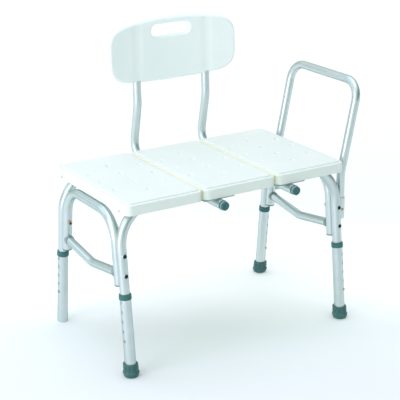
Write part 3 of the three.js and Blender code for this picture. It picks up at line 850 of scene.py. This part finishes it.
def bracket_strap(x, y):
    """The flat strap that hangs a receiver under the seat, notched over its tube."""
    half = BRACKET["width"] / 2
    heights = (BRACKET["bottom"], BRACKET["top"])
    strap = eased(block((x - half, x + half), (y, y + BRACKET["depth"]), heights), 0.5)
    notch = bar(RECEIVER["outer"] - 0.02, -THROUGH, THROUGH, ROUND)
    return boolean(strap, [moved(notch, ALONG_Y, shift(x, y, BACK["tube_z"]))])


def front_cap(x):
    """A flanged stopper with a dished nose, and a light grey ring between its flange and nose whose
    colour is a painted highlight, standing in for the lit side of the cap.
    """
    outer, neck, nose, stub = 12.9, 10.6, 11.5, RECEIVER["inner"] - GAP
    cap = [(0, -11.4), (6.8, -11.6), (8, -13), (nose - 0.8, -13), (nose, -12.2), (nose, -9.3)]
    cap += [(neck, -9.3), (neck, -3), (outer - 0.4, -3), (outer, -2.6), (outer, -GAP)]
    cap += [(stub, -GAP), (stub, 9), (0, 9)]
    # The ring's light grey is a painted highlight on the side of the cap
    inner, edge = neck + 0.1, 11.8
    ring = [(inner, -9.1), (11.5, -9.1), (edge, -8.7), (edge, -3.5), (11.5, -3.1), (inner, -3.1)]
    pieces = [turned(cap, 0.3), turned(ring, 0.3, closed=True)]
    place = shift(x, RECEIVER["front"], BACK["tube_z"])
    return [moved(piece, ALONG_Y, place) for piece in pieces]


def rear_bushing(x):
    outer, bore = 14.6, RECEIVER["inner"]
    profile = [(bore, GAP), (outer, GAP), (outer, 7), (outer - 1, 8), (bore, 8)]
    place = shift(x, RECEIVER["rear"], BACK["tube_z"])
    return moved(turned(profile, 0.7, closed=True), ALONG_Y, place)


def back_tube(x):
    """A tube that runs back under the seat, then up and through the panel."""
    top_y = BACK["kink_y"] + (BACK["top"] - BACK["kink_z"]) * math.tan(BACK["lean"])
    corners = [(x, BACK["front"], BACK["tube_z"]), (x, BACK["corner_y"], BACK["tube_z"])]
    corners += [(x, BACK["kink_y"], BACK["kink_z"]), (x, top_y, BACK["top"])]
    pipe = tube(corners, [BACK["bend"], BACK["kink_bend"]], SMALL_TUBE)
    return boolean(pipe, [receiver_drill(x)])


def bezier(points, count):
    """Points along a curve of any order, without the last one."""
    result = []
    for k in range(count):
        t, row = k / count, [Vector(p) for p in points]
        while len(row) > 1:
            row = [a.lerp(b, t) for a, b in zip(row, row[1:])]
        result.append(row[0])
    return result


def panel_outline():
    """The back panel's outline seen from the front, its bottom edge's middle at the origin."""
    x, height, arch, corner = PANEL["width"] / 2, PANEL["height"], PANEL["arch"], PANEL["corner"]
    square = corner * PANEL["square"]
    low, high = arch / 2, height - arch / 2
    foot, head = corner + arch, height - corner - arch
    crown = height + low + 2 * PANEL["crown"]
    across, round_corner, upright = 40, 24, 10
    outline = bezier([(-x + corner, low), (0, -low), (x - corner, low)], across)
    points = [(x - corner, low), (x - square, arch), (x, square), (x, foot)]
    outline += bezier(points, round_corner)
    outline += bezier([(x, foot), (x, head)], upright)
    points = [(x, head), (x, height - square), (x - square, height - arch), (x - corner, high)]
    outline += bezier(points, round_corner)
    outline += bezier([(x - corner, high), (0, crown), (corner - x, high)], across)
    points = [(corner - x, high), (square - x, height - arch), (-x, height - square), (-x, head)]
    outline += bezier(points, round_corner)
    outline += bezier([(-x, head), (-x, foot)], upright)
    points = [(-x, foot), (-x, square), (square - x, arch), (corner - x, low)]
    return outline + bezier(points, round_corner)


def slot_point(direction, centre):
    """Where a ray from the slot's centre meets the slot's outline."""
    end = PANEL["slot_height"] / 2
    straight = PANEL["slot_width"] / 2 - end
    across, up = abs(direction.x), abs(direction.y)
    if up * straight >= across * end:
        reach = end / up
    else:
        a = straight * across
        reach = a + math.sqrt(a * a - straight * straight + end * end)
    return centre + direction * reach


def bow(x):
    """How far behind the chord of the two tubes the panel's middle surface lies."""
    radius, half_chord = PANEL["radius"], BACK["spacing"] / 2
    offset = x - (BACK["x"] - PANEL["x"])
    return math.sqrt(radius**2 - offset**2) - math.sqrt(radius**2 - half_chord**2)


def tube_groove(x):
    """A shallow channel down the front over each back tube."""
    half_width, deepest = 13, 1.7
    depth = 0.0
    for _, side in SIDES:
        from_tube = (x - (BACK["x"] - PANEL["x"]) - side * BACK["spacing"] / 2) / half_width
        depth += deepest * math.exp(-(from_tube**4))
    return depth


def panel_sheet(mesh, outline, front):
    """One face of the panel, from its rounded rim to the rounded lip of the hand slot, as rings."""
    half = PANEL["thickness"] / 2
    rim, lip, fields = 9.0, 5.0, 22
    centre = Vector((0, PANEL["height"] - PANEL["slot_below"]))
    count = len(outline)
    rings = []
    turns = [k * math.pi / 16 for k in range(9)]
    steps = [("rim", a) for a in turns]
    steps += [("field", k / fields) for k in range(1, fields)]
    steps += [("lip", a) for a in turns[::-1]]
    for kind, value in steps:
        ring = []
        for i, edge in enumerate(outline):
            along = (outline[(i + 1) % count] - outline[i - 1]).normalized()
            inward = Vector((-along.y, along.x))
            start = edge + inward * rim
            ray = (edge - centre).normalized()
            hole = slot_point(ray, centre)
            stop = hole + ray * lip
            if kind == "rim":
                point = edge + inward * rim * (1 - math.cos(value))
                depth = half - rim * (1 - math.sin(value))
            elif kind == "lip":
                point = hole + ray * lip * (1 - math.cos(value))
                depth = half - lip * (1 - math.sin(value))
            else:
                point, depth = start.lerp(stop, value), half
            share = 1.0 if kind == "field" else math.sin(value)
            depth -= tube_groove(point.x) * share * front
            y = bow(point.x) + (-depth if front else depth)
            ring.append(mesh.verts.new((point.x, y, point.y)))
        rings.append(ring)
    return rings


def back_panel():
    """The bowed panel with its hand slot, bored from below for the two tubes."""
    mesh = bmesh.new()
    outline = panel_outline()
    front, rear = panel_sheet(mesh, outline, True), panel_sheet(mesh, outline, False)
    bridge(mesh, front + rear[::-1], closed=True)
    bottom_y = BACK["kink_y"] + (PANEL["bottom"] - BACK["kink_z"]) * math.tan(BACK["lean"])
    bore_radius, bore_top = SMALL_TUBE[0] + 0.4, BACK["top"] - PANEL["bottom"] + 1.2
    bores = []
    for _, side in SIDES:
        x = BACK["x"] - PANEL["x"] + side * BACK["spacing"] / 2
        bores.append(moved(bar(bore_radius, -THROUGH, bore_top, ROUND), shift(x, 0, 0)))
    mesh = boolean(mesh, bores)
    return moved(mesh, turn(-BACK["lean"], "X"), shift(PANEL["x"], bottom_y, PANEL["bottom"]))


def make_backrest():
    for side_name, side in SIDES:
        x = BACK["x"] + side * BACK["spacing"] / 2
        node = f"backrest_receiver_{side_name}"
        dress(f"receiver_tube_{side_name}", receiver_body(x), ALUMINIUM, node)
        for place, y in zip(("front", "rear"), BRACKET["places"]):
            dress(f"receiver_strap_{side_name}_{place}", bracket_strap(x, y), STRAP, node)
        cap, ring = front_cap(x)
        dress(f"front_cap_{side_name}", cap, PLASTIC, f"receiver_cap_{side_name}")
        # The light grey ring is a painted highlight on the cap's side
        dress(f"front_ring_{side_name}", ring, GREY, f"receiver_cap_{side_name}")
        node = f"receiver_bushing_{side_name}"
        dress(f"rear_bushing_{side_name}", rear_bushing(x), PLASTIC, node)
        dress(f"back_tube_{side_name}", back_tube(x), ALUMINIUM, f"backrest_tube_{side_name}")
        clip = moved(snap_button(SMALL_TUBE[1], SMALL_REACH), ALONG_Y, ALONG_X)
        clip = moved(clip, shift(x, RECEIVER["button"], BACK["tube_z"]))
        dress(f"back_clip_{side_name}", clip, BRASS, f"backrest_snap_button_{side_name}")
    dress("back_panel", back_panel(), LIT_BACK_WHITE, "backrest_panel", sharp=45)


# ---------------------------------------------------------------- camera, floor and light
# The camera: its angles in degrees, its place in the seat's frame, and its lens in pixels
CAMERA = dict(yaw=31.68, pitch=19.28, roll=-0.36, place=(-1683.9, -2725.2, 1467.9))
CAMERA.update(focal=1268.3, image=400, sensor=36)
# World light: direction, sharpness and colour of each lobe
WORLD_LOBES = (
    ((0.707, -0.707, 0.25), 5, (0, 0.112, 0.185)),  # front right
    ((1, 0, 0.25), 5, (0.3, 0.3, 0.3)),  # right
    ((0.707, 0.707, 0.25), 5, (0.5, 0.5, 0.5)),  # rear right
    ((0, 1, 0.25), 5, (0.5, 0.5, 0.5)),  # rear
    ((-0.707, 0.707, 0.25), 5, (0.543, 0.56, 0.548)),  # rear left
    ((-1, 0, 0.25), 5, (0.261, 0.155, 0)),  # left
    ((-0.707, -0.707, 0.25), 5, (0.88, 1.23, 1.16)),  # front left
    ((0, 0, 1), 3, (1.9, 2.0, 2.0)),  # overhead
)
# Softboxes aimed at the middle of the bench: name, place, size and colour
AIM = (0, 0, 0.4)
SOFTBOX_WATTS = 100
SOFTBOXES = (
    ("left_softbox", (-3.0, -0.6, 1.1), (1.6, 2.2), (0.311, 0.281, 0.359)),
    ("overhead_softbox", (-0.5, 0.4, 3.4), (3.0, 3.0), (0, 0.013, 0.122)),
    ("rear_left_softbox", (-2.5, 2.0, 1.8), (1.5, 1.5), (0.037, 0.078, 0.094)),
)
# Glow of the floor: a direction fixed on the floor, the one in which the camera looks, then
# the distance in metres from the bench's middle along it, and the colour there
GLOW_WAY = (0.525, 0.851, 0)
FLOOR_GLOW = (
    (-0.5, (0.0, 0.015, 0.01)),
    (-0.15, (0.04, 0.07, 0.06)),
    (0.2, (0.25, 0.27, 0.26)),
    (0.5, (0.2, 0.21, 0.2)),
    (0.9, (0.12, 0.12, 0.13)),
    (2.4, (0.17, 0.15, 0.15)),
)


def make_camera():
    """At standing height in front of the left corner, with a long lens."""
    yaw, pitch, roll = (math.radians(CAMERA[angle]) for angle in ("yaw", "pitch", "roll"))
    flat = math.cos(pitch)
    forward = Vector((math.sin(yaw) * flat, math.cos(yaw) * flat, -math.sin(pitch)))
    right = Vector((math.cos(yaw), -math.sin(yaw), 0))
    up = right.cross(forward)
    rolled_right = right * math.cos(roll) + up * math.sin(roll)
    rolled_up = up * math.cos(roll) - right * math.sin(roll)
    camera = bpy.data.objects.new("camera", bpy.data.cameras.new("camera"))
    bpy.context.scene.collection.objects.link(camera)
    basis = Matrix((rolled_right, rolled_up, -forward)).transposed().to_4x4()
    camera.matrix_world = Matrix.Translation(to_row_frame @ Vector(CAMERA["place"])) @ basis
    camera.data.sensor_width = CAMERA["sensor"]
    camera.data.lens = CAMERA["sensor"] * CAMERA["focal"] / CAMERA["image"]
    camera.data.clip_end = 100
    bpy.context.scene.camera = camera


def make_floor():
    """A wide pale sheet with a weak glow of its own under and behind the bench."""
    mesh = bmesh.new()
    bmesh.ops.create_grid(mesh, x_segments=8, y_segments=8, size=30)
    data = bpy.data.meshes.new("floor")
    mesh.to_mesh(data)
    mesh.free()
    floor = bpy.data.objects.new("floor", data)
    bpy.context.scene.collection.objects.link(floor)
    paint = Paint("pale_floor", 0.9)
    paint.color(paint.noise(0.6, 2), (0.795, 0.795, 0.795), (0.805, 0.805, 0.805))
    depth = paint.node("ShaderNodeVectorMath", operation="DOT_PRODUCT")
    depth.inputs[1].default_value = GLOW_WAY
    paint.link(paint.coordinates, depth.inputs[0])
    reach = paint.node("ShaderNodeMapRange")
    first, last = FLOOR_GLOW[0][0], FLOOR_GLOW[-1][0]
    reach.inputs["From Min"].default_value = first
    reach.inputs["From Max"].default_value = last
    paint.link(depth.outputs["Value"], reach.inputs["Value"])
    glow = paint.node("ShaderNodeValToRGB")
    glow.color_ramp.interpolation = "EASE"
    for place, _ in FLOOR_GLOW[1:-1]:
        glow.color_ramp.elements.new((place - first) / (last - first))
    for stop, (_, color) in zip(glow.color_ramp.elements, FLOOR_GLOW):
        stop.color = (*color, 1)
    paint.link(reach.outputs["Result"], glow.inputs["Fac"])
    paint.link(glow.outputs["Color"], paint.shader.inputs["Emission Color"])
    paint.shader.inputs["Emission Strength"].default_value = 1
    data.materials.append(paint.material)


def make_world():
    """Soft light from all round, as a sum of broad lobes."""
    world = bpy.data.worlds.new("studio")
    bpy.context.scene.world = world
    world.use_nodes = True
    tree = world.node_tree
    look = tree.nodes.new("ShaderNodeTexCoord").outputs["Generated"]

    def node(kind, operation, *inputs):
        made = tree.nodes.new(kind)
        made.operation = operation
        for socket, value in zip(made.inputs, inputs):
            if isinstance(value, bpy.types.NodeSocket):
                tree.links.new(value, socket)
            else:
                socket.default_value = value
        return made

    total = None
    for direction, sharpness, color in WORLD_LOBES:
        towards = Vector(direction).normalized()
        facing = node("ShaderNodeVectorMath", "DOT_PRODUCT", look, towards)
        ahead = node("ShaderNodeMath", "MAXIMUM", facing.outputs["Value"], 0)
        lobe = node("ShaderNodeMath", "POWER", ahead.outputs[0], sharpness)
        tinted = node("ShaderNodeVectorMath", "SCALE", color)
        tree.links.new(lobe.outputs[0], tinted.inputs["Scale"])
        glow = tinted.outputs[0]
        total = node("ShaderNodeVectorMath", "ADD", total, glow).outputs[0] if total else glow
    tree.links.new(total, tree.nodes["Background"].inputs["Color"])


def softbox(name, place, size, color):
    light = bpy.data.lights.new(name, "AREA")
    light.shape = "RECTANGLE"
    light.size, light.size_y = size
    light.energy = SOFTBOX_WATTS * max(color)
    light.color = [channel / max(color) for channel in color]
    made = bpy.data.objects.new(name, light)
    made.location = place
    made.rotation_mode = "QUATERNION"
    made.rotation_quaternion = (Vector(AIM) - Vector(place)).to_track_quat("-Z", "Y")
    bpy.context.scene.collection.objects.link(made)


def make_lights():
    for name, place, size, color in SOFTBOXES:
        softbox(name, place, size, color)
    bpy.context.scene.view_settings.view_transform = "Standard"


make_camera()
make_floor()
make_world()
make_lights()
make_seat()
make_end_screws()
make_frames()
make_legs()
make_arm_rail()
make_backrest()
